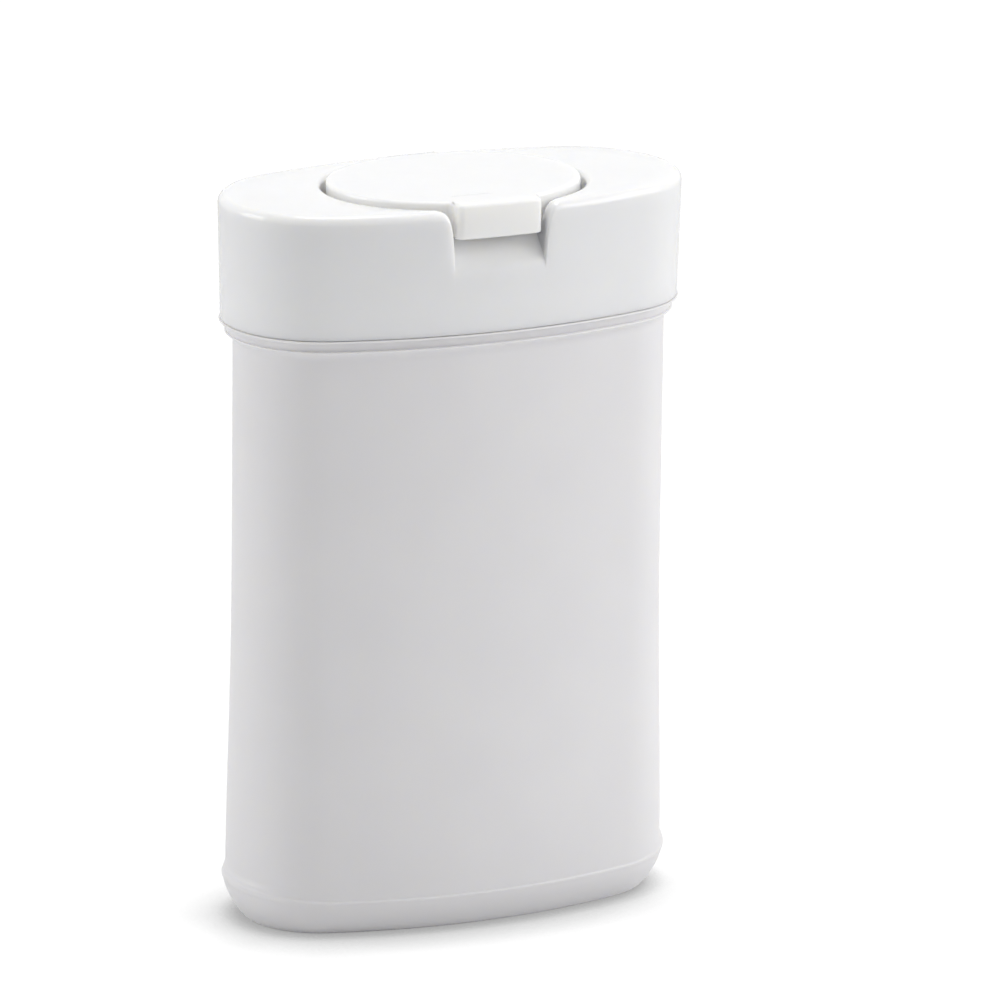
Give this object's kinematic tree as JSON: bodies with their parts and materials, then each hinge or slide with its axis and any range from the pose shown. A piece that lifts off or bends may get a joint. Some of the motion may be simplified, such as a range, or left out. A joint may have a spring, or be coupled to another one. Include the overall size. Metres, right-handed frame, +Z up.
{
  "type": "wet wipes canister",
  "caption": "Oval upright canister of antibacterial wet wipes with a lift-off lid, a hinged flip cap over a star-slit dispensing hole, and a roll of wipes inside.",
  "frame": {"origin": "middle of the base on the surface the pack stands on", "axes": "+Z up, +X along the oval's long side, the thumb tab faces -Y and the hinge +Y"},
  "size_m": [0.081, 0.0411, 0.125],
  "materials": {
    "container_plastic": "blow-moulded white polyethylene, satin",
    "lid_plastic": "injection-moulded white polypropylene, glossy",
    "cap_plastic": "injection-moulded white polypropylene, glossy",
    "wet_tissue": "damp white nonwoven cloth"
  },
  "bodies": {
    "container": {"container": "container_plastic", "wipes_roll": "wet_tissue"},
    "lid": {"lid": "lid_plastic"},
    "flip_cap": {"flip_cap": "cap_plastic"}
  },
  "joints": [
    {"name": "lid_lift", "type": "slide", "parent": "container", "child": "lid", "axis": [0, 0, 1], "range_m": [0, 0.02]},
    {"name": "cap_hinge", "type": "hinge", "parent": "lid", "child": "flip_cap", "pos_m": [0, 0.0191, 0.122], "axis": [-1, 0, 0], "range_deg": [0, 140]}
  ]
}
